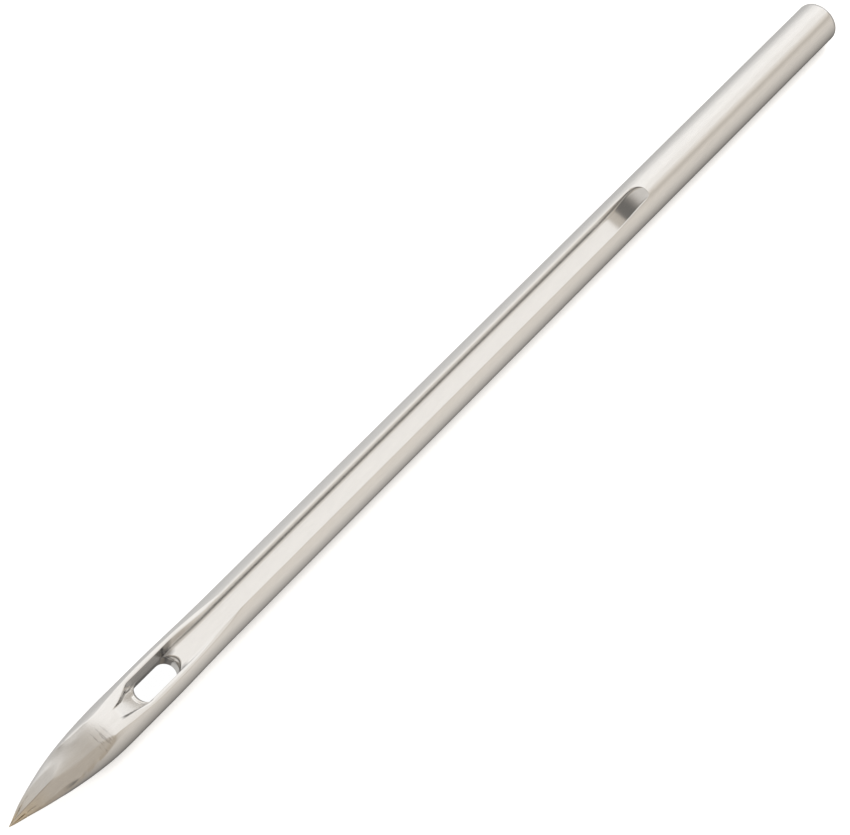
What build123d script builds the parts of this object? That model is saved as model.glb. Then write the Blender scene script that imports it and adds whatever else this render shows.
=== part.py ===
"""Grooved lance-point needle of the stitching-awl kind, one piece of hardened steel.

Frame: +X runs from the butt to the tip, +Z comes out of the thread groove, and the
origin is the centre of the flat butt face. All sizes are in millimetres.
"""
from build123d import *
import os

# ---- driving dimensions ----------------------------------------------------------
length = 62.0
shank_radius = 1.15
butt_round = 0.35

# Swell around the eye, and the nose that tapers from it to the tip.
swell_radius = 1.215
nose_length = 6.8
swell_length = 2.6
swell_blend_length = 4.4

# Lance point: a crowned ground face on the front and on the back, and four low
# facets that meet in ridges and cutting edges over the last few millimetres.
lance_start = 53.0
lance_slope = 0.125
lance_height_at_tip = 0.20
lance_crown_radius = 4.0
facet_half_height = 1.80
facet_half_width = 6.0

# Saddle ground into the front, which lowers the lips on both sides of the eye.
saddle_start = 46.9
saddle_start_height = 1.02
saddle_flat_start = 50.6
saddle_flat_end = 53.4
saddle_height = 0.85
saddle_crest = 55.8
saddle_crest_height = 0.985

# Shallower scarf ground into the back of the eye.
scarf_start = 47.4
scarf_start_height = 1.17
scarf_flat_start = 50.6
scarf_flat_end = 53.8
scarf_height = 0.96
scarf_crest = 55.6
scarf_crest_height = 1.01

# Long thread groove, milled by a round cutter that lifts out at its butt end.
groove_width = 1.10
groove_floor = -0.10
groove_start = 16.2
groove_lift_end = 19.2
groove_end_round = 0.45
groove_corner = 0.14
lip_round = 0.03

# Recess past the eye: the groove climbs out and narrows towards the tip.
recess_climb_start = 53.45
recess_taper_start = 53.8
recess_end = 55.3
recess_end_width = 0.56
recess_end_height = 1.1
recess_end_round = 0.12

# Eye: a slot with rounded ends, right through the floor of the groove.
eye_start = 51.13
eye_end = 53.60
eye_width = 1.02
eye_back_round = 0.15

# ---- worked out from the above ---------------------------------------------------
nose_start = length - nose_length
swell_start = nose_start - swell_length
swell_blend_start = swell_start - swell_blend_length
lance_length = length - lance_start
eye_length = eye_end - eye_start
eye_centre = (eye_start + eye_end) / 2
clear = 3 * shank_radius

# ---- blank: round shank, rounded butt, swell and pointed nose ------------------------
with BuildPart() as blank:
    with BuildSketch(Plane.XZ):
        with BuildLine():
            axis_line = Line((0, 0), (length, 0))
            Line((0, 0), (0, shank_radius))
            Line((0, shank_radius), (swell_blend_start, shank_radius))
            Spline(
                (swell_blend_start, shank_radius),
                (swell_start, swell_radius),
                tangents=[(1, 0), (1, 0)],
            )
            Line((swell_start, swell_radius), (nose_start, swell_radius))
            TangentArc((nose_start, swell_radius), axis_line @ 1, tangent=(1, 0))
        make_face()
    revolve(axis=Axis.X)
    fillet(blank.edges().filter_by(GeomType.CIRCLE).sort_by(Axis.X)[0], butt_round)

# ---- lance: what the grinding wheel leaves of the nose ------------------------------
with BuildPart() as facets:
    with BuildSketch(Plane.YZ.offset(lance_start)) as facet_root:
        with BuildLine():
            Polyline(
                (facet_half_width, 0),
                (0, facet_half_height),
                (-facet_half_width, 0),
                (0, -facet_half_height),
                close=True,
            )
        make_face()
    loft(sections=[facet_root.sketch, Vertex(length, 0, 0)])

# The front face is part of a large cylinder whose highest line slopes down to the
# tip, and the back face is its mirror image.
face_top = lance_height_at_tip + lance_slope * lance_length
face_plane = Plane(
    origin=(lance_start, 0, face_top),
    x_dir=(0, 1, 0),
    z_dir=(1, 0, -lance_slope),
)
with BuildPart() as lance:
    with BuildSketch(face_plane):
        with Locations((0, -lance_crown_radius)):
            Circle(lance_crown_radius)
    extrude(amount=2 * lance_length, both=True)
    mirror(about=Plane.XY, mode=Mode.INTERSECT)
    add(facets.part, mode=Mode.INTERSECT)

with BuildPart() as point_waste:
    with Locations((lance_start, 0, 0)):
        Box(lance_length + clear, clear, clear, align=(Align.MIN, Align.CENTER, Align.CENTER))
    add(lance.part, mode=Mode.SUBTRACT)

# ---- saddle and scarf: long shallow dips ground across the front and the back --------
with BuildPart() as saddle_waste:
    with BuildSketch(Plane.XZ):
        with BuildLine():
            saddle_flat = Line((saddle_flat_start, saddle_height), (saddle_flat_end, saddle_height))
            TangentArc(saddle_flat @ 0, (saddle_start, saddle_start_height), tangent=(-1, 0))
            Spline(
                saddle_flat @ 1,
                (saddle_crest, saddle_crest_height),
                tangents=[(1, 0), (1, 0)],
            )
            Polyline(
                (saddle_crest, saddle_crest_height),
                (saddle_crest, clear),
                (saddle_start, clear),
                (saddle_start, saddle_start_height),
            )
        make_face()
    extrude(amount=clear, both=True)

with BuildPart() as scarf_waste:
    with BuildSketch(Plane.XZ):
        with BuildLine():
            scarf_flat = Line((scarf_flat_start, -scarf_height), (scarf_flat_end, -scarf_height))
            TangentArc(scarf_flat @ 0, (scarf_start, -scarf_start_height), tangent=(-1, 0))
            Spline(
                scarf_flat @ 1,
                (scarf_crest, -scarf_crest_height),
                tangents=[(1, 0), (1, 0)],
            )
            Polyline(
                (scarf_crest, -scarf_crest_height),
                (scarf_crest, -clear),
                (scarf_start, -clear),
                (scarf_start, -scarf_start_height),
            )
        make_face()
    extrude(amount=clear, both=True)

# ---- groove: one pass of the cutter, with its lift at the butt end -------------------
with BuildPart() as groove_waste:
    with BuildSketch(Plane.XZ):
        with BuildLine():
            floor_line = Line((groove_lift_end, groove_floor), (recess_climb_start, groove_floor))
            TangentArc(floor_line @ 0, (groove_start, shank_radius), tangent=(-1, 0))
            Polyline(
                (recess_climb_start, groove_floor),
                (recess_end, recess_end_height),
                (recess_end, clear),
                (groove_start, clear),
                (groove_start, shank_radius),
            )
        make_face()
    extrude(amount=groove_width / 2, both=True)
    floor_edges = groove_waste.faces().sort_by(Axis.Z)[0].edges().filter_by(Axis.X)
    fillet(floor_edges, groove_corner)
    with BuildSketch(Plane.XY.offset(-clear)):
        with BuildLine():
            Polyline(
                (groove_start, -groove_width / 2),
                (recess_taper_start, -groove_width / 2),
                (recess_end, -recess_end_width / 2),
                (recess_end, recess_end_width / 2),
                (recess_taper_start, groove_width / 2),
                (groove_start, groove_width / 2),
                close=True,
            )
        outline = make_face()
        fillet(outline.vertices().group_by(Axis.X)[0], groove_end_round)
        fillet(outline.vertices().group_by(Axis.X)[-1], recess_end_round)
    extrude(amount=2 * clear, mode=Mode.INTERSECT)

# ---- the needle ------------------------------------------------------------------
with BuildPart() as needle:
    add(blank.part)
    add(point_waste.part, mode=Mode.SUBTRACT)
    add(saddle_waste.part, mode=Mode.SUBTRACT)
    add(scarf_waste.part, mode=Mode.SUBTRACT)
    add(groove_waste.part, mode=Mode.SUBTRACT)
    with BuildSketch(Plane.XY.offset(-clear)):
        with Locations((eye_centre, 0)):
            SlotOverall(eye_length, eye_width)
    extrude(amount=2 * clear, mode=Mode.SUBTRACT)

    lips = needle.edges().filter_by(Axis.X).filter_by_position(Axis.Z, saddle_height, shank_radius)
    long_lips = lips.filter_by(lambda edge: edge.length > saddle_start / 2)
    fillet(long_lips, lip_round)
    eye_rim = (
        needle.edges()
        .filter_by_position(Axis.X, eye_start, eye_end)
        .filter_by_position(Axis.Y, -eye_width / 2, eye_width / 2)
        .filter_by_position(Axis.Z, -scarf_height, -scarf_height)
    )
    fillet(eye_rim, eye_back_round)

needle.part.label = "needle"
os.makedirs("parts", exist_ok=True)
export_step(needle.part, "parts/needle.step")
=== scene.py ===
"""Looks of a grooved lance-point needle of the stitching-awl kind.

Frame: metres, +X from the butt to the tip, +Z out of the thread groove. Sizes inside the
classes are in millimetres, as on a needle maker's drawing, and MM turns them into metres.
"""

import logging
import math
from dataclasses import dataclass, field
from enum import Enum

import bmesh
import bpy
import numpy as np
from mathutils import Matrix, Vector

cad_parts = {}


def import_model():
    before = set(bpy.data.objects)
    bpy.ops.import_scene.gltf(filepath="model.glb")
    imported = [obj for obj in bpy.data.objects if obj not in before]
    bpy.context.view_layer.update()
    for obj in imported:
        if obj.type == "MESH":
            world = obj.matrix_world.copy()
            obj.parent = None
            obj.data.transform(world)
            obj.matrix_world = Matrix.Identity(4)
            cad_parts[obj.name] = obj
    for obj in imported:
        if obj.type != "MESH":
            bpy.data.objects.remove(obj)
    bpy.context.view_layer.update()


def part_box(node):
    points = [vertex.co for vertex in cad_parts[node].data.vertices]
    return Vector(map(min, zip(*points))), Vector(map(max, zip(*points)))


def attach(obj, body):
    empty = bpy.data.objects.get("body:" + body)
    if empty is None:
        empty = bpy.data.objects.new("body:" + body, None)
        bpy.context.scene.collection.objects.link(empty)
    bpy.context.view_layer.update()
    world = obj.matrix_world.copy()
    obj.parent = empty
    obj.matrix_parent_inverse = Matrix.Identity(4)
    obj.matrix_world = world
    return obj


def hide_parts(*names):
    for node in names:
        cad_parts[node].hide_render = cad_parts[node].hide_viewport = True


Point = tuple[float, float, float]
Colour = tuple[float, float, float, float]
Socket = bpy.types.NodeSocket
Tree = bpy.types.NodeTree

MM = 0.001
BLACK: Colour = (0.0, 0.0, 0.0, 1.0)
WHITE: Colour = (1.0, 1.0, 1.0, 1.0)
LOG = logging.getLogger("needle")


class Side(Enum):
    """The two sides of the groove, seen with the tip towards the viewer's lower left."""

    LEFT = -1
    RIGHT = 1


def smooth_step(low: float, high: float, value: float) -> float:
    """Rise smoothly from 0 to 1.

    Args:
        low: Value where the rise starts.
        high: Value where it ends. It may be the smaller of the two.
        value: Where to read it.

    Returns:
        The height of the step, from 0 to 1.
    """
    t = min(max((value - low) / (high - low), 0.0), 1.0)
    return t * t * (3 - 2 * t)


def soft_min(a: np.ndarray | float, b: np.ndarray | float, blend: float) -> np.ndarray | float:
    """The smaller of two sizes, rounded over where they cross.

    Args:
        a: First size or sizes.
        b: Second size or sizes.
        blend: Difference between the two within which the crossing is rounded.

    Returns:
        The rounded smaller size.
    """
    near = np.maximum(blend - np.abs(a - b), 0.0) / blend
    return np.minimum(a, b) - near * near * blend / 4


def steps(start: float, end: float, count: int) -> list[float]:
    """Evenly spaced values from just after the start up to the end.

    Args:
        start: Where to begin. It isn't in the list itself.
        end: Last value.
        count: How many values.

    Returns:
        The values in order.
    """
    return [start + (end - start) * k / count for k in range(1, count + 1)]


# ---- form ------------------------------------------------------------------------------
@dataclass
class NeedleForm:
    """Sizes of the needle, in millimetres from the centre of the butt."""

    length: float
    shank_radius: float
    butt_round: float = 0.42
    # swell round the eye and the nose that tapers from it
    swell_radius: float = 1.213
    nose_length: float = 6.8
    swell_start: float = 52.6
    swell_blend: float = 4.4
    # ground front and back: each is part of a flat ellipse across the needle
    tip_slope: float = 0.20
    facet_fall: float = 0.29
    lance_slope: float = 0.125
    lance_curve: float = 0.016
    lance_curve_start: float = 3.0
    lance_tip_height: float = 0.20
    crest_from_tip: float = 5.95
    crest_height: float = 1.03
    crest_blend: float = 0.17
    saddle_height: float = 0.895
    saddle_near: float = 9.2
    saddle_far: float = 11.2
    saddle_rise: float = 0.0135
    scarf_height: float = 0.96
    scarf_crest: float = 1.00
    crown_radius: float = 4.2
    lance_width_at_crest: float = 0.44
    lance_narrows: tuple[float, float] = (2.4, 6.6)
    crown_takes_over: tuple[float, float] = (5.4, 7.2)
    flattest_half: float = 3.0
    edge_blend: float = 0.012
    facet_blend: float = 0.02
    ridge_round: float = 0.0004
    # the grinding fixture stands a little turned against the groove
    grind_turn: float = 3.6
    turn_fades: tuple[float, float] = (14.6, 11.0)
    point_shift: float = 0.065
    shift_grows: tuple[float, float] = (6.2, 2.6)
    shift_fades: tuple[float, float] = (0.0, 1.2)
    # thread groove
    groove_half: float = 0.55
    groove_narrow: float = 0.045
    narrow_until: tuple[float, float] = (50.4, 47.5)
    eye_widen_left: float = 0.06
    groove_floor: float = -0.10
    groove_corner: float = 0.14
    lip_round: float = 0.035
    lip_round_left: float = 0.08
    lip_drop: float = 0.35
    lip_drop_left: float = 0.10
    groove_end: float = 16.15
    lift_start: float = 19.2
    lift_reach: float = 0.5
    end_half: float = 0.12
    end_shift: float = 0.12
    end_round_left: float = 0.85
    end_round_right: float = 0.40
    end_narrow: float = 0.11
    # recess past the eye
    climb_start: float = 53.45
    climb_slope: float = 0.6486
    climb_soft: float = 0.05
    taper_start: float = 53.8
    taper_end: float = 55.3
    taper_half: float = 0.28
    # eye
    eye_start: float = 51.13
    eye_end: float = 53.60
    eye_half: float = 0.54
    eye_back_half: float = 0.66
    eye_rim_round: float = 0.30
    eye_lip_left: float = 0.08
    eye_lip_right: float = 0.13
    eye_lean_left: float = 0.15
    eye_lean_right: float = 0.05
    eye_nears: tuple[float, float] = (48.6, 50.9)
    eye_leaves: tuple[float, float] = (54.9, 53.6)
    recess_blend: float = 0.12
    lift_blend: float = 0.012

    @property
    def eye_first(self) -> float:
        """Centre of the eye's round end on the butt's side."""
        return self.eye_start + self.eye_half

    @property
    def eye_last(self) -> float:
        """Centre of the eye's round end on the tip's side."""
        return self.eye_end - self.eye_half

    def blank_radius(self, x: float) -> float:
        """Radius of the round rod before anything is cut into it.

        Args:
            x: Distance from the butt.

        Returns:
            The radius at that place.
        """
        if x < self.butt_round:
            inside = self.butt_round - x
            return self.shank_radius - self.butt_round + math.sqrt(self.butt_round**2 - inside**2)
        nose_start = self.length - self.nose_length
        if x <= nose_start:
            swell = smooth_step(self.swell_start - self.swell_blend, self.swell_start, x)
            return self.shank_radius + (self.swell_radius - self.shank_radius) * swell
        arc = (self.nose_length**2 + self.swell_radius**2) / (2 * self.swell_radius)
        along = min(x - nose_start, self.nose_length)
        return max(math.sqrt(arc**2 - along**2) - arc + self.swell_radius, 0.0)

    def front_height(self, x: float) -> float:
        """Height of the ground front at its middle line.

        Args:
            x: Distance from the butt.

        Returns:
            The height above the axis.
        """
        d = self.length - x
        lance = self.lance_height(d)
        dip = self.crest_height - self.saddle_height
        saddle = self.saddle_height + dip * smooth_step(self.saddle_near, self.crest_from_tip, d)
        saddle += self.saddle_rise * max(d - self.saddle_far, 0.0) ** 2
        return max(float(soft_min(lance, saddle, self.crest_blend)), 0.0)

    def back_height(self, x: float) -> float:
        """Depth of the ground back at its middle line.

        Args:
            x: Distance from the butt.

        Returns:
            The depth below the axis.
        """
        d = self.length - x
        lance = self.lance_height(d)
        dip = self.scarf_crest - self.scarf_height
        scarf = self.scarf_height + dip * smooth_step(self.saddle_near, self.crest_from_tip, d)
        scarf += self.saddle_rise * max(d - self.saddle_far, 0.0) ** 2
        return max(float(soft_min(lance, scarf, self.crest_blend)), 0.0)

    def lance_height(self, d: float) -> float:
        """Height of the lance's face at its middle line.

        Args:
            d: Distance from the tip.

        Returns:
            The height above the axis, or the depth below it on the back.
        """
        curved = max(d - self.lance_curve_start, 0.0)
        return self.lance_tip_height + self.lance_slope * d + self.lance_curve * curved**2

    def face_half_width(self, x: float) -> float:
        """Half width of the ellipse that the ground faces are part of.

        Args:
            x: Distance from the butt.

        Returns:
            The half width, worked out near the tip from how wide the face comes out.
        """
        d = self.length - x
        share = 1 - (1 - self.lance_width_at_crest) * smooth_step(*self.lance_narrows, d)
        height = max(self.front_height(x), 1e-6)
        rod = max(self.blank_radius(x), 1e-6)
        flatness = height**-2 - (height**-2 - rod**-2) / share**2
        lens = 1 / math.sqrt(max(flatness, self.flattest_half**-2))
        crown = math.sqrt(self.crown_radius * height)
        return lens + (crown - lens) * smooth_step(*self.crown_takes_over, d)

    def turn(self, x: float) -> float:
        """Turn of the ground faces about the needle's axis, in radians."""
        return math.radians(self.grind_turn) * smooth_step(*self.turn_fades, self.length - x)

    def floor_height(self, x: float) -> float:
        """Height of the groove's floor, with the cutter's lift and the recess's climb.

        Args:
            x: Distance from the butt.

        Returns:
            The height above the axis.
        """
        if x < self.lift_start:
            run = self.lift_start - self.groove_end
            rise = self.shank_radius - self.groove_floor
            arc = (run**2 + rise**2) / (2 * rise)
            back = min(self.lift_start - x, run + self.lift_reach)
            return self.groove_floor + arc - math.sqrt(arc**2 - back**2)
        climb = max(x - self.climb_start, 0.0) * self.climb_slope
        soft = self.climb_soft
        return self.groove_floor + 0.5 * (climb + math.sqrt(climb**2 + soft**2) - soft)

    def wall(self, x: float, side: Side) -> float:
        """Where the groove's wall stands, as a signed distance from the middle.

        Args:
            x: Distance from the butt.
            side: Which wall.

        Returns:
            The wall's Y place.
        """
        full = self.groove_half
        if side is Side.RIGHT:
            full -= self.groove_narrow * smooth_step(*self.narrow_until, x)
            full -= self.end_narrow * smooth_step(self.lift_start + 0.5, self.groove_end, x)
        else:
            full += self.eye_widen_left * self.near_eye(x)
        if x > self.taper_start:
            along = min((x - self.taper_start) / (self.taper_end - self.taper_start), 1.0)
            full += (self.taper_half - full) * along
        reach = self.end_round_left if side is Side.LEFT else self.end_round_right
        start = self.end_shift + side.value * self.end_half
        if x < self.groove_end + reach:
            u = 1 - min(max((x - self.groove_end) / reach, 0.0), 1.0)
            return start + (side.value * full - start) * math.sqrt(1 - u * u)
        return side.value * full

    def lip(self, x: float, side: Side) -> float:
        """Size of the rounding on the groove's lip, which changes beside the eye.

        Args:
            x: Distance from the butt.
            side: Which lip.

        Returns:
            The size of the rounding.
        """
        usual = self.lip_round_left if side is Side.LEFT else self.lip_round
        most = self.eye_lip_left if side is Side.LEFT else self.eye_lip_right
        return usual + (most - usual) * self.near_eye(x)

    def lean(self, x: float, side: Side) -> float:
        """How far the groove's wall leans outwards at its top beside the eye.

        Args:
            x: Distance from the butt.
            side: Which wall.

        Returns:
            The distance by which the top stands further out than the foot.
        """
        most = self.eye_lean_left if side is Side.LEFT else self.eye_lean_right
        return most * self.near_eye(x)

    def near_eye(self, x: float) -> float:
        """1 beside the eye, falling to 0 a few millimetres away."""
        return smooth_step(*self.eye_nears, x) * smooth_step(*self.eye_leaves, x)

    def sideways(self, x: float) -> float:
        """How far the point's middle line stands off the axis.

        Args:
            x: Distance from the butt.

        Returns:
            The shift along Y.
        """
        d = self.length - x
        shift = smooth_step(*self.shift_grows, d) * smooth_step(*self.shift_fades, d)
        return -self.point_shift * shift


@dataclass
class Outline:
    """The closed outer outline of the needle across one station."""

    form: NeedleForm
    x: float
    samples: int = 721
    widest_crossing: float = math.radians(82)

    def __post_init__(self) -> None:
        """Work out the sizes that hold all round the outline."""
        form = self.form
        self.radius_round = max(form.blank_radius(self.x), 1e-6)
        self.front = max(form.front_height(self.x), 1e-6)
        self.back = max(form.back_height(self.x), 1e-6)
        self.half = max(form.face_half_width(self.x), 1e-6)
        self.turned = form.turn(self.x)
        self.facet = max(form.tip_slope * (form.length - self.x), 1e-6)
        angles = np.linspace(-math.pi / 2, math.pi / 2, self.samples)
        radii = self.radius(angles)
        self.across = radii * np.sin(angles)
        self.upper = radii * np.cos(angles)
        under = self.radius(angles + math.pi)
        self.across_under = (-under * np.sin(angles))[::-1]
        self.lower = (under * np.cos(angles))[::-1]

    def radius(self, angle: np.ndarray | float) -> np.ndarray:
        """Distance of the outline from the axis.

        Args:
            angle: Angle from +Z towards +Y, in radians.

        Returns:
            The distance in that direction.
        """
        turned = np.asarray(angle, float) + self.turned
        sine, cosine = np.abs(np.sin(turned)), np.cos(turned)
        height = np.where(cosine >= 0, self.front, self.back)
        face = 1 / np.sqrt((sine / self.half) ** 2 + (cosine / height) ** 2)
        ridge = np.sqrt(np.sin(angle) ** 2 + self.form.ridge_round)
        facet = self.facet / (np.abs(np.cos(angle)) + self.form.facet_fall * ridge + 1e-9)
        face = soft_min(face, facet, self.form.facet_blend * min(1.0, self.facet))
        blend = self.form.edge_blend * min(1.0, self.radius_round)
        return soft_min(face, self.radius_round, blend)

    def crossing(self, height: float) -> float:
        """Angle from the face's middle at which a ground face meets the round rod.

        Args:
            height: The face's height above the axis.

        Returns:
            The angle, or zero where the face clears the rod.
        """
        if height >= self.radius_round:
            return 0.0
        top = height**-2 - self.radius_round**-2
        bottom = height**-2 - self.half**-2
        if bottom <= top:
            return self.widest_crossing
        return min(math.asin(math.sqrt(top / bottom)), self.widest_crossing)

    def height(self, y: float) -> float:
        """Height of the upper surface over a place across the needle."""
        return float(np.interp(y, self.across, self.upper))

    def depth(self, y: float) -> float:
        """Depth of the lower surface under the axis, as a positive size."""
        return float(np.interp(y, self.across_under, self.lower))

    def point(self, angle: float) -> tuple[float, float]:
        """Y and Z of the outline in one direction.

        Args:
            angle: Angle from +Z towards +Y, in radians.

        Returns:
            The two coordinates.
        """
        reach = float(self.radius(angle))
        return reach * math.sin(angle), reach * math.cos(angle)


# ---- skin ------------------------------------------------------------------------------
@dataclass
class NeedleSkin:
    """The needle's surface: a grid rolled into a tube, with the eye opened through it."""

    form: NeedleForm
    floor_steps: int = 9
    corner_steps: int = 3
    wall_steps: int = 4
    lip_steps: int = 6
    face_steps: int = 10
    edge_steps: int = 3
    side_steps: int = 16
    rim_steps: int = 4
    cap_steps: int = 7
    edge_spread: float = 0.022
    bend_length: float = 1.6
    sharp_edge: float = math.radians(30)
    runs_out_butt: float = 0.5
    runs_out_tip: float = 0.8
    milled_end: float = 55.12
    ground_depth: float = 0.015
    floor_below: float = -0.5
    stations: list[float] = field(default_factory=list)
    known: dict[float, Outline] = field(default_factory=dict)
    cap_rings: tuple[float, ...] = (0.0, 0.35, 0.7, 0.92)
    wall_rings: tuple[float, ...] = (
        0.14, 0.28, 0.42, 0.56, 0.70, 0.85, 1.0, 1.35, 1.7, 2.0, 2.17, 2.34, 2.5, 2.67, 2.84,
    )

    def spans(self) -> list[tuple[float, float, float]]:
        """The stretches of the needle, each with its own spacing of the stations.

        Returns:
            Start, end and spacing of each stretch, from the butt to the tip.
        """
        form = self.form
        return [
            (form.butt_round, form.groove_end - 0.6, 0.8),
            (form.groove_end - 0.6, form.groove_end, 0.1),
            (form.groove_end, form.groove_end + 0.12, 0.012),
            (form.groove_end + 0.12, form.groove_end + 1.0, 0.04),
            (form.groove_end + 1.0, form.lift_start + 0.3, 0.1),
            (form.lift_start + 0.3, 46.0, 0.8),
            (46.0, 50.0, 0.1),
            (50.0, form.eye_first, 0.045),
            (form.eye_first, form.eye_last, 0.06),
            (form.eye_last, 55.6, 0.04),
            (55.6, 58.0, 0.07),
            (58.0, form.length - 0.3, 0.05),
            (form.length - 0.3, form.length, 0.03),
        ]

    def lay_stations(self) -> None:
        """Fill the list of stations, from the butt to the tip."""
        turns = [math.pi / 2 * k / self.cap_steps for k in range(self.cap_steps)]
        self.stations = [self.form.butt_round * (1 - math.cos(turn)) for turn in turns]
        for start, end, gap in self.spans():
            count = max(round((end - start) / gap), 1)
            self.stations += [start + (end - start) * k / count for k in range(count)]
        self.stations.append(self.form.length)

    def bend(self, x: float) -> float:
        """How much a row follows the eye's round end.

        Args:
            x: Distance from the butt.

        Returns:
            1 or -1 at the eye's end on the butt's or the tip's side, 0 away from it.
        """
        form = self.form
        if x <= form.eye_first:
            return smooth_step(form.eye_first - self.bend_length, form.eye_first, x)
        if x >= form.eye_last:
            return -smooth_step(form.eye_last + self.bend_length, form.eye_last, x)
        return 0.0

    def floor_at(self, x: float, middle: float) -> float:
        """Height of the groove's floor where it also runs out into the surface.

        Args:
            x: Distance from the butt.
            middle: Where the groove's middle line lies across the needle.

        Returns:
            The height of the middle line.
        """
        form = self.form
        blend = form.recess_blend if x > form.eye_start else form.lift_blend
        top = self.outline_at(x).height(middle)
        return float(soft_min(form.floor_height(x), top, blend))

    def middle(self, x: float) -> float:
        """Where the groove's middle line lies across the needle."""
        return (self.form.wall(x, Side.LEFT) + self.form.wall(x, Side.RIGHT)) / 2

    def groove_row(self, x: float, side: Side, outline: Outline) -> list[Point]:
        """Points from the groove's middle up over the lip, on one side.

        Args:
            x: Distance from the butt.
            side: Side of the groove.
            outline: The outline at that station.

        Returns:
            The points, as place along, across and up.
        """
        form = self.form
        sign = side.value
        wall = form.wall(x, side)
        middle = self.middle(x)
        scale = abs(wall - middle) / form.groove_half
        floor = self.floor_at(x, middle)
        share = self.depth_share(x, side, outline)
        bend = self.bend(x) * (form.eye_half + form.eye_rim_round)
        flat = form.groove_half - form.groove_corner
        points = []
        for k in range(self.floor_steps + 1):
            turn = math.pi / 2 * k / self.floor_steps
            across = form.eye_half * math.sin(turn)
            along = x - bend * math.cos(turn)
            beyond = max(across - flat, 0.0)
            rise = form.groove_corner - math.sqrt(form.groove_corner**2 - beyond**2)
            height = floor if along == x else self.floor_at(along, middle)
            points.append((along, middle + sign * across * scale, height + rise * share))
        corner = form.groove_corner * share
        lip = self.lip_size(x, side, outline)
        begin = math.asin((form.eye_half - flat) / form.groove_corner)
        for turn in steps(begin, math.pi / 2, self.corner_steps):
            y = wall - sign * corner * (1 - math.sin(turn))
            points.append((x, y, floor + corner * (1 - math.cos(turn))))
        leant = wall + sign * form.lean(x, side) * share
        top = outline.height(leant + sign * lip)
        low = floor + corner
        drop = form.lip_drop_left if side is Side.LEFT else form.lip_drop
        high = max(top - drop * lip, low)
        for step in steps(0.0, 1.0, self.wall_steps):
            points.append((x, wall + (leant - wall) * step, low + (high - low) * step))
        for step in steps(0.0, 1.0, self.lip_steps):
            rise = (top - high) * (1 - (1 - step) ** 2)
            points.append((x, leant + sign * lip * step, high + rise))
        return points

    def depth_share(self, x: float, side: Side, outline: Outline) -> float:
        """How far the groove is deep enough for its corner and lip.

        Args:
            x: Distance from the butt.
            side: Side of the groove.
            outline: The outline at that station.

        Returns:
            1 where there is room for both, falling to 0 where the groove runs out.
        """
        depth = outline.height(self.form.wall(x, side)) - self.floor_at(x, self.middle(x))
        return min(max(depth / (2.5 * self.form.groove_corner), 0.0), 1.0)

    def lip_size(self, x: float, side: Side, outline: Outline) -> float:
        """Size of the lip at one station, smaller where the groove is shallow."""
        return self.form.lip(x, side) * (0.25 + 0.75 * self.depth_share(x, side, outline))

    def lip_angle(self, x: float, side: Side, outline: Outline) -> tuple[float, float]:
        """Where the outer surface starts beside the groove.

        Args:
            x: Distance from the butt.
            side: Which side of the groove.
            outline: The outline at that station.

        Returns:
            The signed distance from the middle, and its angle from +Z without sign.
        """
        form = self.form
        leant = form.lean(x, side) * self.depth_share(x, side, outline)
        edge = form.wall(x, side) + side.value * (leant + self.lip_size(x, side, outline))
        spread = side.value * min(0.6 * outline.radius_round, 0.58)
        before = smooth_step(form.groove_end, form.groove_end - self.runs_out_butt, x)
        after = smooth_step(form.taper_end, form.taper_end + 1.0, x)
        place = edge + (spread - edge) * max(before, after)
        if x > form.length - 4.0:
            place = side.value * min(abs(place), 0.6 * outline.radius_round)
        return place, math.atan2(abs(place), max(outline.height(place), 1e-6))

    def outer_angles(self, side: Side, outline: Outline, start: float) -> list[float]:
        """Angles of the outer points, from the lip round to the ground back.

        Args:
            side: Which side of the groove.
            outline: The outline at that station.
            start: Angle of the lip, from +Z without sign.

        Returns:
            The angles, close together on both sides of each ground face's edge.
        """
        lean = side.value * outline.turned
        front = outline.crossing(outline.front) - lean
        front = max(front, start + 0.045)
        back = max(outline.crossing(outline.back) + lean, math.radians(33))
        back = math.pi - back
        front = min(front, back - 0.2)
        spread = min(self.edge_spread, 0.3 * (front - start))
        last = back - self.edge_spread
        return [
            *steps(start, front - spread, self.face_steps),
            *steps(front - spread, front + spread, self.edge_steps),
            *steps(front + spread, last, self.side_steps),
            *steps(last, back + self.edge_spread, self.edge_steps),
        ]

    def back_row(self, x: float, side: Side, outline: Outline, last: float) -> list[Point]:
        """Points over the back, from its outer edge to the middle line.

        Args:
            x: Distance from the butt.
            side: Which side of the needle.
            outline: The outline at that station.
            last: Angle of the outer edge, from +Z without sign.

        Returns:
            The points, as place along, across and up.
        """
        form = self.form
        sign = side.value
        edge = abs(float(outline.radius(sign * last)) * math.sin(last))
        rim = min(form.eye_back_half, 0.86 * edge)
        points = []
        for reach in steps(edge, rim, self.rim_steps):
            y = sign * reach
            points.append((x, y, -outline.depth(y)))
        bend = self.bend(x) * form.eye_back_half
        for k in range(self.floor_steps - 1, -1, -1):
            turn = math.pi / 2 * k / self.floor_steps
            y = sign * rim * math.sin(turn)
            along = x - bend * math.cos(turn)
            points.append((along, y, -self.outline_at(along).depth(y)))
        return points

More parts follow.
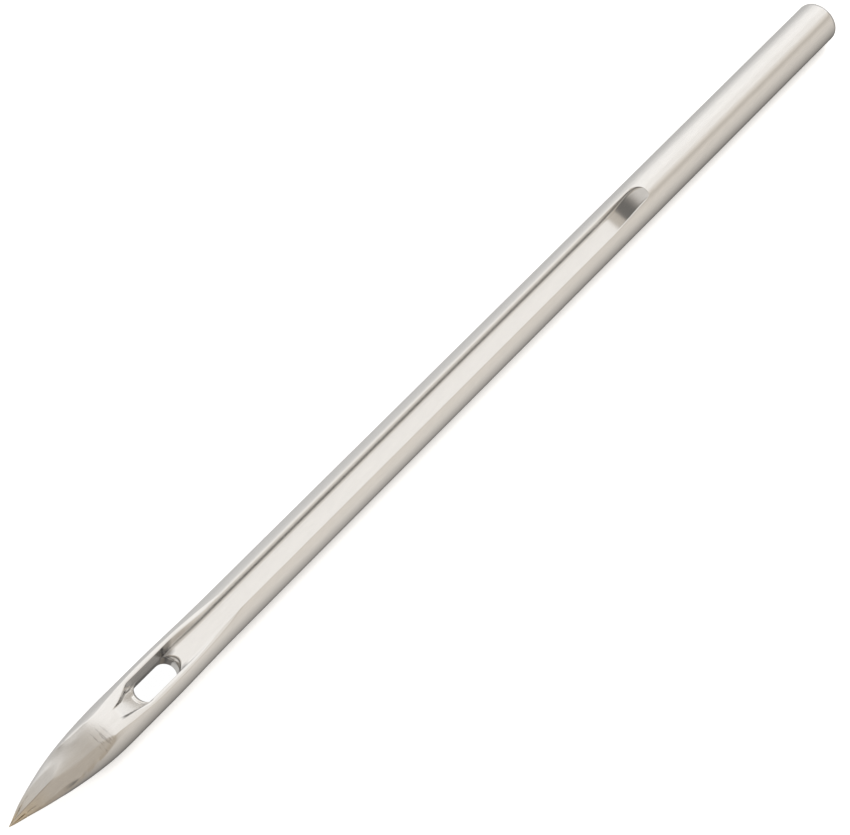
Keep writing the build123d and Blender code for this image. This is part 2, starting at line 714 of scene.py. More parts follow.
    def half_ring(self, x: float, side: Side, outline: Outline) -> list[Point]:
        """All points of one side, from the groove's middle to the back's middle.

        Args:
            x: Distance from the butt.
            side: Which side of the needle.
            outline: The outline at that station.

        Returns:
            The points, as place along, across and up.
        """
        form = self.form
        place, start = self.lip_angle(x, side, outline)
        groove = self.groove_row(x, side, outline)
        before = smooth_step(form.groove_end, form.groove_end - self.runs_out_butt, x)
        flat = max(before, smooth_step(form.taper_end, form.taper_end + self.runs_out_tip, x))
        count = len(groove) - 1
        middle = self.middle(x) * (1 - flat)
        points = []
        for k, (along, y, z) in enumerate(groove):
            even = middle + (place - middle) * k / count
            across = y + (even - y) * flat
            points.append((along, across, min(z, self.outline_at(along).height(across))))
        angles = self.outer_angles(side, outline, start)
        for angle in angles:
            y, z = outline.point(side.value * angle)
            points.append((x, y, z))
        return points + self.back_row(x, side, outline, angles[-1])

    def outline_at(self, x: float) -> Outline:
        """The outline at any place, worked out once.

        Args:
            x: Distance from the butt.

        Returns:
            The outline.
        """
        key = round(x, 5)
        if key not in self.known:
            self.known[key] = Outline(self.form, x)
        return self.known[key]

    def ring(self, x: float) -> list[Point]:
        """The closed row of points at one station.

        Args:
            x: Distance from the butt.

        Returns:
            The points, from the groove's middle round by the right and the back.
        """
        outline = self.outline_at(x)
        right = self.half_ring(x, Side.RIGHT, outline)
        left = self.half_ring(x, Side.LEFT, outline)
        points = right + left[-2:0:-1]
        shift = self.form.sideways(x)
        return [(along, y + shift, z) for along, y, z in points]

    def build(self) -> bpy.types.Object:
        """Make the needle's mesh.

        Returns:
            The new object, at the origin of the frame.
        """
        self.lay_stations()
        rings = [self.ring(x) for x in self.stations]
        first = rings[0]
        cap = [[(x, y * share, z * share) for x, y, z in first] for share in self.cap_rings]
        bm = bmesh.new()
        columns = self.roll(bm, cap + rings)
        self.open_eye(bm, columns)
        bmesh.ops.remove_doubles(bm, verts=bm.verts, dist=2e-7)
        bmesh.ops.dissolve_degenerate(bm, edges=bm.edges, dist=1e-7)
        bmesh.ops.recalc_face_normals(bm, faces=bm.faces)
        for face in bm.faces:
            face.smooth = True
        for edge in bm.edges:
            if len(edge.link_faces) == 2 and edge.calc_face_angle(0) > self.sharp_edge:
                edge.smooth = False
        mesh = bpy.data.meshes.new("needle_skin")
        bm.to_mesh(mesh)
        bm.free()
        piece = bpy.data.objects.new("needle_skin", mesh)
        bpy.context.scene.collection.objects.link(piece)
        return piece

    def dress(self, piece: bpy.types.Object, finish: bpy.types.Material) -> None:
        """Plate the needle and put it in the place of the CAD node.

        Args:
            piece: The needle's skin.
            finish: What it is plated with.
        """
        piece.data.materials.append(finish)
        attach(piece, "root")
        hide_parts("needle")

    def roll(self, bm: bmesh.types.BMesh, rings: list[list[Point]]) -> int:
        """Lay a grid over the rings and mark what is ground and what is milled.

        Args:
            bm: An empty mesh.
            rings: The rows of points, from the middle of the butt to the tip.

        Returns:
            How many points a row has.
        """
        rows, columns = len(rings), len(rings[0])
        bmesh.ops.create_grid(bm, x_segments=columns, y_segments=rows - 1, size=1.0)
        ground = bm.verts.layers.float.new("ground")
        milled = bm.verts.layers.float.new("milled")
        station = bm.verts.layers.int.new("station")
        around = bm.verts.layers.int.new("around")
        order = sorted(bm.verts, key=lambda v: (round(v.co.y, 6), round(v.co.x, 6)))
        for index, vert in enumerate(order):
            row, column = divmod(index, columns + 1)
            column %= columns
            x, y, z = rings[row][column]
            vert.co = Vector((x, y, z)) * MM
            vert[station] = row - len(self.cap_rings)
            vert[around] = column
            vert[milled] = self.milled_share(x, column, columns)
            if not vert[milled]:
                vert[ground] = self.ground_share(x, y - self.form.sideways(x), z)
        return columns

    def milled_share(self, x: float, column: int, columns: int) -> float:
        """How far a point belongs to the thread groove or the recess.

        Args:
            x: Distance from the butt.
            column: The point's place in its row.
            columns: How many points a row has.

        Returns:
            1 inside them, 0 elsewhere.
        """
        reach = self.floor_steps + self.corner_steps + self.wall_steps
        inside = column <= reach or column >= columns - reach
        return 1.0 if inside and self.form.groove_end < x < self.milled_end else 0.0

    def ground_share(self, x: float, y: float, z: float) -> float:
        """How far a point belongs to the ground faces.

        Args:
            x: Distance from the butt.
            y: Place across the needle.
            z: Height above the axis.

        Returns:
            1 on the ground faces, 0 on the round rod.
        """
        cut = self.outline_at(x).radius_round - math.hypot(y, z)
        return min(max(cut / self.ground_depth, 0.0), 1.0)

    def open_eye(self, bm: bmesh.types.BMesh, columns: int) -> None:
        """Cut the eye's openings in front and back and wall it in between.

        Args:
            bm: The rolled grid.
            columns: How many points a row has.
        """
        station = bm.verts.layers.int["station"]
        around = bm.verts.layers.int["around"]
        form = self.form
        first = min(range(len(self.stations)), key=lambda k: abs(self.stations[k] - form.eye_first))
        last = min(range(len(self.stations)), key=lambda k: abs(self.stations[k] - form.eye_last))
        back = columns // 2

        def inside(face: bmesh.types.BMFace, centre: int) -> bool:
            """Whether a face lies in the eye's block round one column.

            Args:
                face: The face.
                centre: The column in the middle of the block.

            Returns:
                True inside the block.
            """
            for vert in face.verts:
                offset = (vert[around] - centre + columns // 2) % columns - columns // 2
                if abs(offset) > self.floor_steps or not first <= vert[station] <= last:
                    return False
            return True

        bmesh.ops.remove_doubles(bm, verts=bm.verts, dist=2e-7)
        gone = [f for f in bm.faces if inside(f, 0) or inside(f, back)]
        bmesh.ops.delete(bm, geom=gone, context="FACES")
        near, far = 0.9 * form.eye_start * MM, form.taper_end * MM
        open_edges = [e for e in bm.edges if len(e.link_faces) == 1]
        eye_edges = [e for e in open_edges if near < e.verts[0].co.x < far]
        front = [e for e in eye_edges if min(v.co.z for v in e.verts) > self.floor_below * MM]
        rear = [e for e in eye_edges if max(v.co.z for v in e.verts) < self.floor_below * MM]
        self.wall_eye(bm, front, rear)

    def wall_eye(
        self, bm: bmesh.types.BMesh, front: list[bmesh.types.BMEdge], rear: list[bmesh.types.BMEdge]
    ) -> None:
        """Extrude the front opening down to the back one, both with rounded rims.

        Args:
            bm: The mesh with both openings cut.
            front: Edges round the opening in the groove's floor.
            rear: Edges round the opening in the back.
        """
        form = self.form
        milled = bm.verts.layers.float["milled"]
        flare = form.eye_back_half - form.eye_half
        foot = min(v.co.z for e in rear for v in e.verts) / MM + flare
        reach = form.eye_half + form.eye_rim_round
        sides = [v.co.y / MM for e in front for v in e.verts]
        middle, half = (max(sides) + min(sides)) / 2, (max(sides) - min(sides)) / 2
        plan = {}
        for vert in {v for e in front for v in e.verts}:
            x, y, z = vert.co / MM
            centre = min(max(x, form.eye_first), form.eye_last)
            out = Vector(((x - centre) / reach, (y - middle) / half)).normalized()
            plan[vert.co.to_tuple(9)] = (centre, out, z)
        quarter = math.pi / 2
        ring = front
        for place in self.wall_rings:
            made = bmesh.ops.extrude_edge_only(bm, edges=ring)["geom"]
            fresh = {g for g in made if isinstance(g, bmesh.types.BMVert)}
            edges = [g for g in made if isinstance(g, bmesh.types.BMEdge)]
            ring = [edge for edge in edges if fresh.issuperset(edge.verts)]
            moved = {}
            for vert in fresh:
                centre, out, rim = plan[vert.co.to_tuple(9)]
                share = abs(out.x)
                over = form.eye_rim_round * share
                wide, z = form.eye_half, rim - over
                if place < 1:
                    wide += form.eye_rim_round * share * (1 - math.sin(place * quarter))
                    z = rim - over * (1 - math.cos(place * quarter))
                elif place < 2:
                    z += (foot - z) * (place - 1)
                else:
                    wide += flare * (1 - math.cos((place - 2) * quarter))
                    z = foot - flare * math.sin((place - 2) * quarter)
                flared = max(place - 2, 0.0)
                across = half + (wide - form.eye_half) * min(flared * 50, 1.0)
                y = middle * (1 - flared) + out.y * across
                vert.co = Vector((centre + out.x * wide, y, z)) * MM
                vert[milled] = 1.0
                moved[vert.co.to_tuple(9)] = (centre, out, rim)
            plan = moved
        bmesh.ops.bridge_loops(bm, edges=ring + rear)


# ---- node trees ------------------------------------------------------------------------
@dataclass
class Graph:
    """A node tree, with one method for each kind of node used here."""

    tree: Tree

    def feed(self, socket: Socket, value: object) -> None:
        """Link a socket to another one, or set its value.

        Args:
            socket: The socket to feed.
            value: Another socket, a number or a colour.
        """
        if isinstance(value, Socket):
            self.tree.links.new(value, socket)
        else:
            socket.default_value = value

    def math(self, operation: str, *values: object) -> Socket:
        """One sum of numbers or sockets.

        Args:
            operation: Name of the sum.
            values: What goes into it, in order.

        Returns:
            The socket with the result.
        """
        node = self.tree.nodes.new("ShaderNodeMath")
        node.operation = operation
        for socket, value in zip(node.inputs, values):
            self.feed(socket, value)
        return node.outputs[0]

    def times(self, first: object, *others: object) -> Socket:
        """Several numbers or sockets multiplied together.

        Args:
            first: The first of them.
            others: The rest.

        Returns:
            The socket with the product.
        """
        for other in others:
            first = self.math("MULTIPLY", first, other)
        return first

    def plus(self, first: object, second: object) -> Socket:
        """Two numbers or sockets added."""
        return self.math("ADD", first, second)

    def away(self, value: object, centre: float) -> Socket:
        """How far a value is from a centre, without sign."""
        return self.math("ABSOLUTE", self.math("SUBTRACT", value, centre))

    def span(
        self, value: object, low: object, high: object, to_low: float = 0.0, to_high: float = 1.0
    ) -> Socket:
        """Bring a value from one range smoothly to another.

        Args:
            value: The value to bring over.
            low: Where the range starts. It may be the larger end.
            high: Where it ends.
            to_low: Result at the start.
            to_high: Result at the end.

        Returns:
            The socket with the result.
        """
        node = self.tree.nodes.new("ShaderNodeMapRange")
        node.interpolation_type = "SMOOTHSTEP"
        names = ("Value", "From Min", "From Max", "To Min", "To Max")
        for name, entry in zip(names, (value, low, high, to_low, to_high)):
            self.feed(node.inputs[name], entry)
        return node.outputs[0]

    def ramp(self, value: Socket, stops: list[tuple[float, Point]]) -> Socket:
        """Colours along a value.

        Args:
            value: The value, from the first stop's place to the last one's.
            stops: Places and colours, in order.

        Returns:
            The socket with the colour.
        """
        low, high = stops[0][0], stops[-1][0]
        node = self.tree.nodes.new("ShaderNodeMapRange")
        node.inputs["From Min"].default_value = low
        node.inputs["From Max"].default_value = high
        self.tree.links.new(value, node.inputs["Value"])
        colours = self.tree.nodes.new("ShaderNodeValToRGB")
        elements = colours.color_ramp.elements
        for index, (place, colour) in enumerate(stops):
            share = (place - low) / (high - low)
            stop = elements[index] if index < 2 else elements.new(share)
            stop.position = share
            stop.color = (*colour, 1)
        self.tree.links.new(node.outputs[0], colours.inputs[0])
        return colours.outputs[0]

    def mix(self, share: object, first: object, second: object, blend: str = "MIX") -> Socket:
        """Mix two colours.

        Args:
            share: How much of the second one shows.
            first: First colour.
            second: Second colour.
            blend: How they are mixed.

        Returns:
            The socket with the colour.
        """
        node = self.tree.nodes.new("ShaderNodeMix")
        node.data_type = "RGBA"
        node.blend_type = blend
        for place, value in ((0, share), (6, first), (7, second)):
            self.feed(node.inputs[place], value)
        return node.outputs[2]

    def noise(
        self, place: Socket, stretch: Point, detail: float = 3.0, rough: float = 0.6
    ) -> Socket:
        """Noise of a given grain.

        Args:
            place: Coordinates in millimetres.
            stretch: How many grains there are in a millimetre, on each axis.
            detail: Number of finer layers.
            rough: Strength of the finer layers.

        Returns:
            The socket with the value, about 0.5 on average.
        """
        scale = self.tree.nodes.new("ShaderNodeVectorMath")
        scale.operation = "MULTIPLY"
        scale.inputs[1].default_value = stretch
        self.tree.links.new(place, scale.inputs[0])
        node = self.tree.nodes.new("ShaderNodeTexNoise")
        node.inputs["Scale"].default_value = 1.0
        node.inputs["Detail"].default_value = detail
        node.inputs["Roughness"].default_value = rough
        self.tree.links.new(scale.outputs[0], node.inputs["Vector"])
        return node.outputs[0]

    def axes(self, place: Socket) -> tuple[Socket, Socket, Socket]:
        """The three coordinates of a place.

        Args:
            place: The socket with the place.

        Returns:
            Its X, Y and Z.
        """
        node = self.tree.nodes.new("ShaderNodeSeparateXYZ")
        self.tree.links.new(place, node.inputs[0])
        return node.outputs["X"], node.outputs["Y"], node.outputs["Z"]

    def attribute(self, name: str) -> Socket:
        """A value kept on the mesh.

        Args:
            name: Name of the attribute.

        Returns:
            The socket with the value.
        """
        node = self.tree.nodes.new("ShaderNodeAttribute")
        node.attribute_name = name
        return node.outputs["Fac"]


# ---- finish ----------------------------------------------------------------------------
@dataclass(frozen=True)
class PlatedSteel:
    """Bright plated steel: drawn rod, lengthwise ground faces and a milled groove."""

    length: float
    name: str = "plated_steel"
    colour: Colour = (0.88, 0.87, 0.855, 1.0)
    # straw tone of the point; its larger share on the right facet is a painted reflection
    straw: Colour = (0.92, 0.83, 0.68, 1.0)
    # colour of the painted shade along the point's ridge
    ridge: Colour = (0.42, 0.34, 0.26, 1.0)
    # colour of the painted shade in the groove and recess, and of the grinding ticks
    shade_and_tick_colour: Colour = (0.33, 0.325, 0.32, 1.0)
    roughness_rod: float = 0.15
    roughness_ground: float = 0.17
    roughness_milled: float = 0.13
    roughness_of_streaks: float = 0.04
    drawn_grain: Point = (0.25, 14.0, 14.0)
    planed_grain: Point = (0.25, 14.0, 0.6)
    ground_grain: Point = (0.8, 9.0, 9.0)
    tick_grain: Point = (11.0, 1.6, 1.6)
    mark_grain: Point = (1.4, 5.0, 5.0)
    ground_grain_height: float = 2.0
    scratch_depth_mm: float = 0.004
    scratch_strength: float = 0.25

    def build(self) -> bpy.types.Material:
        """Make the material.

        Returns:
            A node material that reads object coordinates and the mesh's own attributes.
        """
        material = bpy.data.materials.new(self.name)
        material.use_nodes = True
        graph = Graph(material.node_tree)
        surface = material.node_tree.nodes["Principled BSDF"]
        place = self.place_in_mm(graph)
        ground, milled = graph.attribute("ground"), graph.attribute("milled")
        drawn = graph.noise(place, self.drawn_grain, 4.0)
        planed = graph.noise(place, self.planed_grain, 4.0)
        drawn = graph.times(drawn, graph.math("SUBTRACT", 1.0, milled))
        streaks = graph.plus(drawn, graph.times(planed, milled))
        surface.inputs["Metallic"].default_value = 1.0
        graph.feed(surface.inputs["Base Color"], self.tint(graph, place, ground, milled))
        rough = graph.plus(self.roughness_rod, graph.times(streaks, self.roughness_of_streaks))
        for zone, value in ((ground, self.roughness_ground), (milled, self.roughness_milled)):
            rough = graph.plus(rough, graph.times(zone, value - self.roughness_rod))
        graph.feed(surface.inputs["Roughness"], rough)
        graph.feed(surface.inputs["Normal"], self.scratches(graph, place, ground, streaks))
        return material

    def place_in_mm(self, graph: Graph) -> Socket:
        """Object coordinates in millimetres.

        Args:
            graph: The material's nodes.

        Returns:
            The socket with the coordinates.
        """
        place = graph.tree.nodes.new("ShaderNodeTexCoord")
        scale = graph.tree.nodes.new("ShaderNodeVectorMath")
        scale.operation = "SCALE"
        scale.inputs["Scale"].default_value = 1 / MM
        graph.tree.links.new(place.outputs["Object"], scale.inputs[0])
        return scale.outputs[0]

    def tint(self, graph: Graph, place: Socket, ground: Socket, milled: Socket) -> Socket:
        """Colour of the metal: straw at the point with a painted reflection on its right facet,
        painted shade along the ridge, the groove's left wall, the eye's butt end and the recess,
        and darker grinding ticks.

        Args:
            graph: The material's nodes.
            place: Coordinates in millimetres.
            ground: 1 on the ground faces.
            milled: 1 in the groove.

        Returns:
            The socket with the colour.
        """
        x, y, z = graph.axes(place)
        to_tip = graph.math("SUBTRACT", self.length, x)
        # straw at the point, stronger on the right facet as a painted reflection
        colour = graph.mix(self.straw_and_painted_reflection(graph, to_tip, y), self.colour, self.straw)
        # a thin line along the point's ridge, darkened as painted shade where the two ground facets
        # meet
        ridge = graph.span(graph.away(y, -0.055), 0.035, 0.005)
        ridge = graph.times(ridge, graph.span(to_tip, 2.9, 2.2, 0.0, 0.35))
        colour = graph.mix(ridge, colour, self.ridge)
        # painted shade on the groove's left wall, round the eye's butt end and along the recess
        colour = graph.mix(self.painted_shade(graph, (x, y, z), milled), colour, self.shade_and_tick_colour)
        ticks = graph.times(self.ticks(graph, place, x, y), ground)
        colour = graph.mix(ticks, colour, self.shade_and_tick_colour)
        marks = graph.span(graph.noise(place, self.mark_grain, 5.0, 0.7), 0.35, 0.7, 0.97, 1.0)
        return graph.mix(1.0, colour, graph.mix(marks, BLACK, WHITE), "MULTIPLY")

    def straw_and_painted_reflection(self, graph: Graph, to_tip: Socket, y: Socket) -> Socket:
        """How much the point is tinted straw: near the tip all round, and further back mostly on
        the right facet, where the warmer tone is a painted reflection.

        Args:
            graph: The material's nodes.
            to_tip: Distance from the tip.
            y: Place across the needle.

        Returns:
            The socket with the share.
        """
        side = graph.times(graph.span(to_tip, 2.6, 0.5), graph.span(y, -0.12, 0.05, 0.35, 1.0))
        return graph.math("MAXIMUM", side, graph.span(to_tip, 1.3, 0.2))

    def painted_shade(self, graph: Graph, place: tuple[Socket, Socket, Socket], milled: Socket) -> Socket:
        """Painted shade where shadows fall: on the groove's left wall, round the eye's butt end and
        along a line on the recess's right side.

        Args:
            graph: The material's nodes.
            place: The three coordinates in millimetres.
            milled: 1 in the groove.

        Returns:
            The socket with the share of painted shade.
        """
        x, y, z = place
        wall = graph.times(
            graph.span(y, -0.49, -0.56), graph.span(z, 0.75, 0.45),
            graph.span(x, 17.4, 18.6, 0.0, 0.55), graph.span(x, 50.5, 47.5, 0.35, 1.0),
            graph.span(x, 53.6, 53.0), milled,
        )
        corner = graph.times(
            graph.span(graph.away(y, 0.0), 0.28, 0.46), graph.span(x, 50.6, 51.05, 0.0, 0.85),
            graph.span(x, 51.75, 51.35), milled,
        )
        line = graph.plus(y, graph.times(graph.math("SUBTRACT", x, 53.8), 0.18))
        recess = graph.times(
            graph.span(graph.away(line, 0.525), 0.10, 0.05), graph.span(x, 53.4, 53.65),
            graph.span(x, 55.3, 54.9), graph.span(z, -0.3, 0.0),
        )
        return graph.math("MAXIMUM", graph.math("MAXIMUM", wall, corner), recess)

    def ticks(self, graph: Graph, place: Socket, x: Socket, y: Socket) -> Socket:
        """Short grinding marks across the lance's crest, most on the right.

        Args:
            graph: The material's nodes.
            place: Coordinates in millimetres.
            x: Distance from the butt.
            y: Place across the needle.

        Returns:
            The socket with their strength.
        """
        marks = graph.span(graph.noise(place, self.tick_grain, 4.0, 0.7), 0.5, 0.62, 0.0, 0.45)
        return graph.times(
            marks, graph.span(graph.away(x, 56.5), 0.6, 0.15), graph.span(y, -0.4, 0.1)
        )

    def scratches(self, graph: Graph, place: Socket, ground: Socket, streaks: Socket) -> Socket:
        """Fine lengthwise lines everywhere and a coarser grain on the ground faces.

        Args:
            graph: The material's nodes.
            place: Coordinates in millimetres.
            ground: 1 on the ground faces.
            streaks: Lengthwise noise.

        Returns:
            The socket with the changed normal.
        """
        coarse = graph.noise(place, self.ground_grain, 5.0, 0.7)
        grain = graph.times(coarse, ground, self.ground_grain_height)
        bump = graph.tree.nodes.new("ShaderNodeBump")
        bump.inputs["Strength"].default_value = self.scratch_strength
        bump.inputs["Distance"].default_value = self.scratch_depth_mm * MM
        graph.tree.links.new(graph.plus(streaks, grain), bump.inputs["Height"])
        return bump.outputs[0]


# ---- setting ---------------------------------------------------------------------------
@dataclass(frozen=True)
class Viewpoint:
    """The camera, stated by how the needle lies in the photograph's frame."""

    width: int = 850
    focal_pixels: float = 2945.0
    sensor_mm: float = 36.0
    slope: tuple[float, float] = (-0.708053, -0.706160)
    tilt_degrees: float = 27.0
    roll_degrees: float = 8.7
    anchor_from_tip_mm: float = 28.54
    anchor_right_mm: float = -0.1153
    anchor_up_mm: float = 0.1134
    distance_mm: float = 141.1
    clip_start: float = 0.001

    def build(self, length: float) -> bpy.types.Object:
        """Place the camera.

        Args:
            length: The needle's length in millimetres.

        Returns:
            The camera object.
        """
        tilt, roll = math.radians(self.tilt_degrees), math.radians(self.roll_degrees)
        level_x, level_y = (step * math.cos(tilt) for step in self.slope)
        along = Vector((level_x, level_y, math.sin(tilt)))
        towards = Vector((0, 0, 1))
        level = (towards - along * (towards @ along)).normalized()
        beside = Vector((self.slope[1], -self.slope[0], 0))
        up = (level * math.cos(roll) + beside * math.sin(roll)).normalized()
        across = up.cross(along).normalized()
        turn = Matrix((along, across, up))
        anchor = Vector((length - self.anchor_from_tip_mm, 0, 0)) * MM
        seen_at = Vector((self.anchor_right_mm, self.anchor_up_mm, -self.distance_mm)) * MM
        camera = bpy.data.objects.new("camera", bpy.data.cameras.new("camera"))
        bpy.context.scene.collection.objects.link(camera)
        camera.data.sensor_width = self.sensor_mm
        camera.data.lens = self.focal_pixels * self.sensor_mm / self.width
        camera.data.clip_start = self.clip_start
        placed = turn.to_4x4()
        placed.translation = anchor - turn @ seen_at
        camera.matrix_world = placed
        bpy.context.scene.camera = camera
        return camera


@dataclass(frozen=True)
class Floor:
    """White paper with the needle's shadow on it, partly painted, and a glowing patch under the
    eye, which is painted light.

    The steel mirrors the lower half of the sky in place of the paper, because the tones of
    the real table show in its rims.
    """

    size_mm: float = 600.0
    middle_mm: float = 30.0
    albedo: float = 0.88
    glow: float = 0.70
    hidden_glow: float = 0.45
    patch_mm: tuple[float, float, float, float] = (50.9, 53.9, -0.64, 0.52)
    patch_lift_mm: float = 0.005
    shadow_reach_mm: float = 0.75
    shadow_samples: int = 8
    shadow_span: tuple[float, float] = (0.2, 0.8)
    lean_degrees: float = 45.0

    def build(self, height: float) -> None:
        """Make the floor and the glowing patch of painted light under the eye.

        Args:
            height: Height of the floor in metres.
        """
        half = self.size_mm / 2
        whole = (self.middle_mm - half, self.middle_mm + half, -half, half)
        floor = self.sheet("floor", whole, height)
        paper = self.paper("floor_white", self.albedo, self.glow, self.hidden_glow)
        floor.data.materials.append(paper)
        # a glowing sheet under the eye, hidden from diffuse and shadow rays: painted light that
        # whitens the floor seen through the eye, where the needle shades it
        patch = self.sheet("painted_light_patch", self.patch_mm, height + self.patch_lift_mm * MM)
        patch.data.materials.append(self.paper("painted_light_white", 0.0, 1.0, 1.0))
        patch.visible_diffuse = False
        patch.visible_shadow = False

    def sheet(
        self, name: str, span: tuple[float, float, float, float], height: float
    ) -> bpy.types.Object:
        """Make a flat rectangle that the steel doesn't mirror.

        Args:
            name: Name of the object.
            span: Its near and far X and its near and far Y, in millimetres.
            height: Its height in metres.

        Returns:
            The new object.
        """
        bm = bmesh.new()
        bmesh.ops.create_grid(bm, x_segments=1, y_segments=1, size=0.5)
        wide, deep = span[1] - span[0], span[3] - span[2]
        bmesh.ops.scale(bm, verts=bm.verts, vec=(wide * MM, deep * MM, 1))
        centre = ((span[0] + span[1]) / 2 * MM, (span[2] + span[3]) / 2 * MM, height)
        bmesh.ops.translate(bm, verts=bm.verts, vec=centre)
        mesh = bpy.data.meshes.new(name)
        bm.to_mesh(mesh)
        bm.free()
        sheet = bpy.data.objects.new(name, mesh)
        bpy.context.scene.collection.objects.link(sheet)
        sheet.visible_glossy = False
        return sheet

    def paper(self, name: str, albedo: float, glow: float, hidden: float) -> bpy.types.Material:
        """White paper that keeps its real shadow, with its glow dimmed by a painted shadow beside
        the needle.

        Args:
            name: Name of the material.
            albedo: How much of the light it returns.
            glow: How much it glows where it is seen.
            hidden: What share of the glow is left in the painted shadow, where the needle hides the
                sky.

        Returns:
            The material.
        """
        material = bpy.data.materials.new(name)
        material.use_nodes = True
        tree = material.node_tree
        tree.nodes.clear()
        graph = Graph(tree)
        path = tree.nodes.new("ShaderNodeLightPath")
        seen = path.outputs["Is Camera Ray"]
        for ray in ("Is Transmission Ray", "Is Glossy Ray"):
            seen = graph.math("MAXIMUM", seen, path.outputs[ray])
        # the glow is dimmed where an ambient-occlusion test leaning to the left finds the needle
        # close: a painted shadow on the needle's right, over the real shadow in the diffuse part
        open_sky = tree.nodes.new("ShaderNodeAmbientOcclusion")
        open_sky.samples = self.shadow_samples
        open_sky.inputs["Distance"].default_value = self.shadow_reach_mm * MM
        lean = tree.nodes.new("ShaderNodeCombineXYZ")
        lean.inputs["Y"].default_value = -math.sin(math.radians(self.lean_degrees))
        lean.inputs["Z"].default_value = math.cos(math.radians(self.lean_degrees))
        tree.links.new(lean.outputs[0], open_sky.inputs["Normal"])
        shade = graph.span(open_sky.outputs["AO"], *self.shadow_span, hidden, 1.0)
        light = tree.nodes.new("ShaderNodeEmission")
        graph.feed(light.inputs["Strength"], graph.times(seen, glow, shade))
        paper = tree.nodes.new("ShaderNodeBsdfDiffuse")
        paper.inputs["Color"].default_value = (albedo, albedo, albedo, 1)
        both = tree.nodes.new("ShaderNodeAddShader")
        tree.links.new(light.outputs[0], both.inputs[0])
        tree.links.new(paper.outputs[0], both.inputs[1])
        output = tree.nodes.new("ShaderNodeOutputMaterial")
        tree.links.new(both.outputs[0], output.inputs["Surface"])
        return material


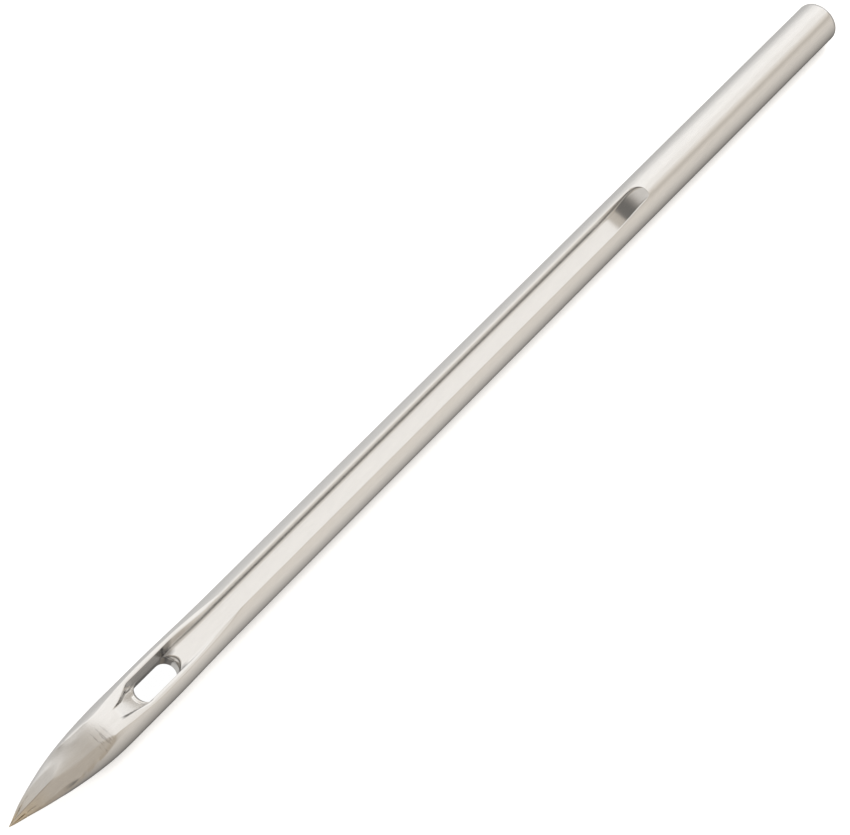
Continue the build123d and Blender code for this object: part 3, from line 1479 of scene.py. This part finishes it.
@dataclass(frozen=True)
class Sky:
    """Soft light from overhead and the left, a beige wall right and a tan one in front.

    Each stop of an arch is an angle in degrees from overhead towards the right, a level and
    a warmth. The overhead arch lights the blade, the one behind lights the shank and the
    nose, and the front one shows in the faces that lean towards the tip.
    """

    overhead: tuple[Point, ...] = (
        (-180, 0.45, 0.03), (-128, 0.62, 0.02), (-92, 0.67, 0.03), (-62, 0.98, 0.04),
        (-24, 1.02, 0.05), (5, 0.92, 0.07), (23, 0.73, 0.15), (33, 0.57, 0.18),
        (54, 0.78, 0.15), (89, 0.75, 0.12), (150, 0.33, 0.10), (180, 0.07, 0.06),
    )
    behind: tuple[Point, ...] = (
        (-180, 0.45, 0.03), (-108, 0.61, 0.03), (-64, 0.99, 0.04), (-37, 1.05, 0.04),
        (3, 0.93, 0.07), (22, 0.75, 0.15), (33, 0.56, 0.18), (54, 0.72, 0.15),
        (79, 0.67, 0.13), (180, 0.07, 0.06),
    )
    front: tuple[Point, ...] = (
        (-180, 0.50, 0.05), (-95, 0.60, 0.05), (-54, 0.55, 0.10), (24, 0.56, 0.235),
        (45, 0.45, 0.28), (150, 0.33, 0.25), (180, 0.20, 0.20),
    )
    # a dark band low in front, which the cutter's lift and the eye's rim mirror
    dusk: tuple[float, float] = (0.16, 0.10)
    dusk_rises: tuple[float, float] = (0.115, 0.165)
    dusk_fades: tuple[float, float] = (0.78, 0.40)
    dusk_angles: tuple[float, float] = (-60.0, -35.0)
    # beyond the band, the sky is the arches again, dimmed
    far_dim: float = 0.28
    far_share: float = 0.75
    far_rises: tuple[float, float] = (0.50, 0.72)
    # between these two the overhead arch shows, and past them the one behind
    behind_butt: tuple[float, float] = (-0.46, -0.57)
    behind_tip: tuple[float, float] = (-0.38, -0.30)
    # where the front starts along the needle, further back and softer on the right
    edge: float = -0.12
    edge_left: float = -0.01
    edge_right: float = -0.23
    edge_soft: float = 0.05
    edge_soft_right: float = 0.10
    right_rises: tuple[float, float] = (-2.0, 14.0)
    right_fades: tuple[float, float] = (90.0, 66.0)
    slant_angles: tuple[float, float] = (-45.0, 14.0)

    def tone(self, level: float, warmth: float) -> Point:
        """Colour of one place in the sky, from white to tan as the warmth grows."""
        return level, level * (1 - 0.45 * warmth), level * (1 - warmth)

    def arch(self, graph: Graph, angle: Socket, stops: tuple[Point, ...]) -> Socket:
        """One band of sky over the needle.

        Args:
            graph: The world's nodes.
            angle: Angle about the needle, from overhead towards the right.
            stops: Angles with their levels and warmths.

        Returns:
            The socket with the colour.
        """
        tones = [(place, self.tone(level, warmth)) for place, level, warmth in stops]
        return graph.ramp(angle, tones)

    def front_share(self, graph: Graph, along: Socket, angle: Socket) -> Socket:
        """How much of the front shows in place of the arches.

        Args:
            graph: The world's nodes.
            along: Direction along the needle, from -1 at the butt to 1 at the tip.
            angle: Angle about the needle, from overhead towards the right.

        Returns:
            The socket with the share, which rises across a slanting edge.
        """
        right = graph.times(
            graph.span(angle, *self.right_rises), graph.span(angle, *self.right_fades)
        )
        widening = graph.times(right, self.edge_soft_right - self.edge_soft)
        soft = graph.plus(self.edge_soft, widening)
        centre = graph.plus(self.edge, graph.times(right, self.edge_right - self.edge))
        slant = graph.span(angle, *self.slant_angles, self.edge_left, self.edge_right)
        centre = graph.math("MAXIMUM", centre, slant)
        return graph.span(along, graph.math("SUBTRACT", centre, soft), graph.plus(centre, soft))

    def build(self) -> None:
        """Colour the sky by its direction about the needle and along it."""
        world = bpy.data.worlds.new("studio")
        bpy.context.scene.world = world
        world.use_nodes = True
        tree = world.node_tree
        graph = Graph(tree)
        place = tree.nodes.new("ShaderNodeTexCoord")
        along, across, up = graph.axes(place.outputs["Generated"])
        angle = graph.math("DEGREES", graph.math("ARCTAN2", across, up))
        ends = graph.math(
            "MAXIMUM", graph.span(along, *self.behind_butt), graph.span(along, *self.behind_tip)
        )
        overhead = self.arch(graph, angle, self.overhead)
        arches = graph.mix(ends, overhead, self.arch(graph, angle, self.behind))
        band = graph.times(
            graph.span(along, *self.dusk_rises), graph.span(along, *self.dusk_fades),
            graph.span(angle, *self.dusk_angles),
        )
        dusk = (*self.tone(*self.dusk), 1.0)
        front = graph.mix(band, self.arch(graph, angle, self.front), dusk)
        far = graph.mix(self.far_dim, arches, BLACK)
        front = graph.mix(graph.span(along, *self.far_rises, 0.0, self.far_share), front, far)
        sky = graph.mix(self.front_share(graph, along, angle), arches, front)
        graph.feed(tree.nodes["Background"].inputs["Color"], sky)


def main() -> None:
    """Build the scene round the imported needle."""
    logging.basicConfig(level=logging.INFO, format="%(name)s: %(message)s")
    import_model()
    low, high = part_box("needle")
    form = NeedleForm(length=high.x / MM, shank_radius=high.z / MM)
    skin = NeedleSkin(form)
    needle = skin.build()
    skin.dress(needle, PlatedSteel(form.length).build())
    LOG.info("%s: %d faces", needle.name, len(needle.data.polygons))
    camera = Viewpoint().build(form.length)
    LOG.info("%s: lens %.1f mm", camera.name, camera.data.lens)
    Floor().build(low.z)
    Sky().build()
    LOG.info("floor and sky are in place")
    bpy.context.scene.view_settings.view_transform = "Standard"


if __name__ == "__main__":
    main()
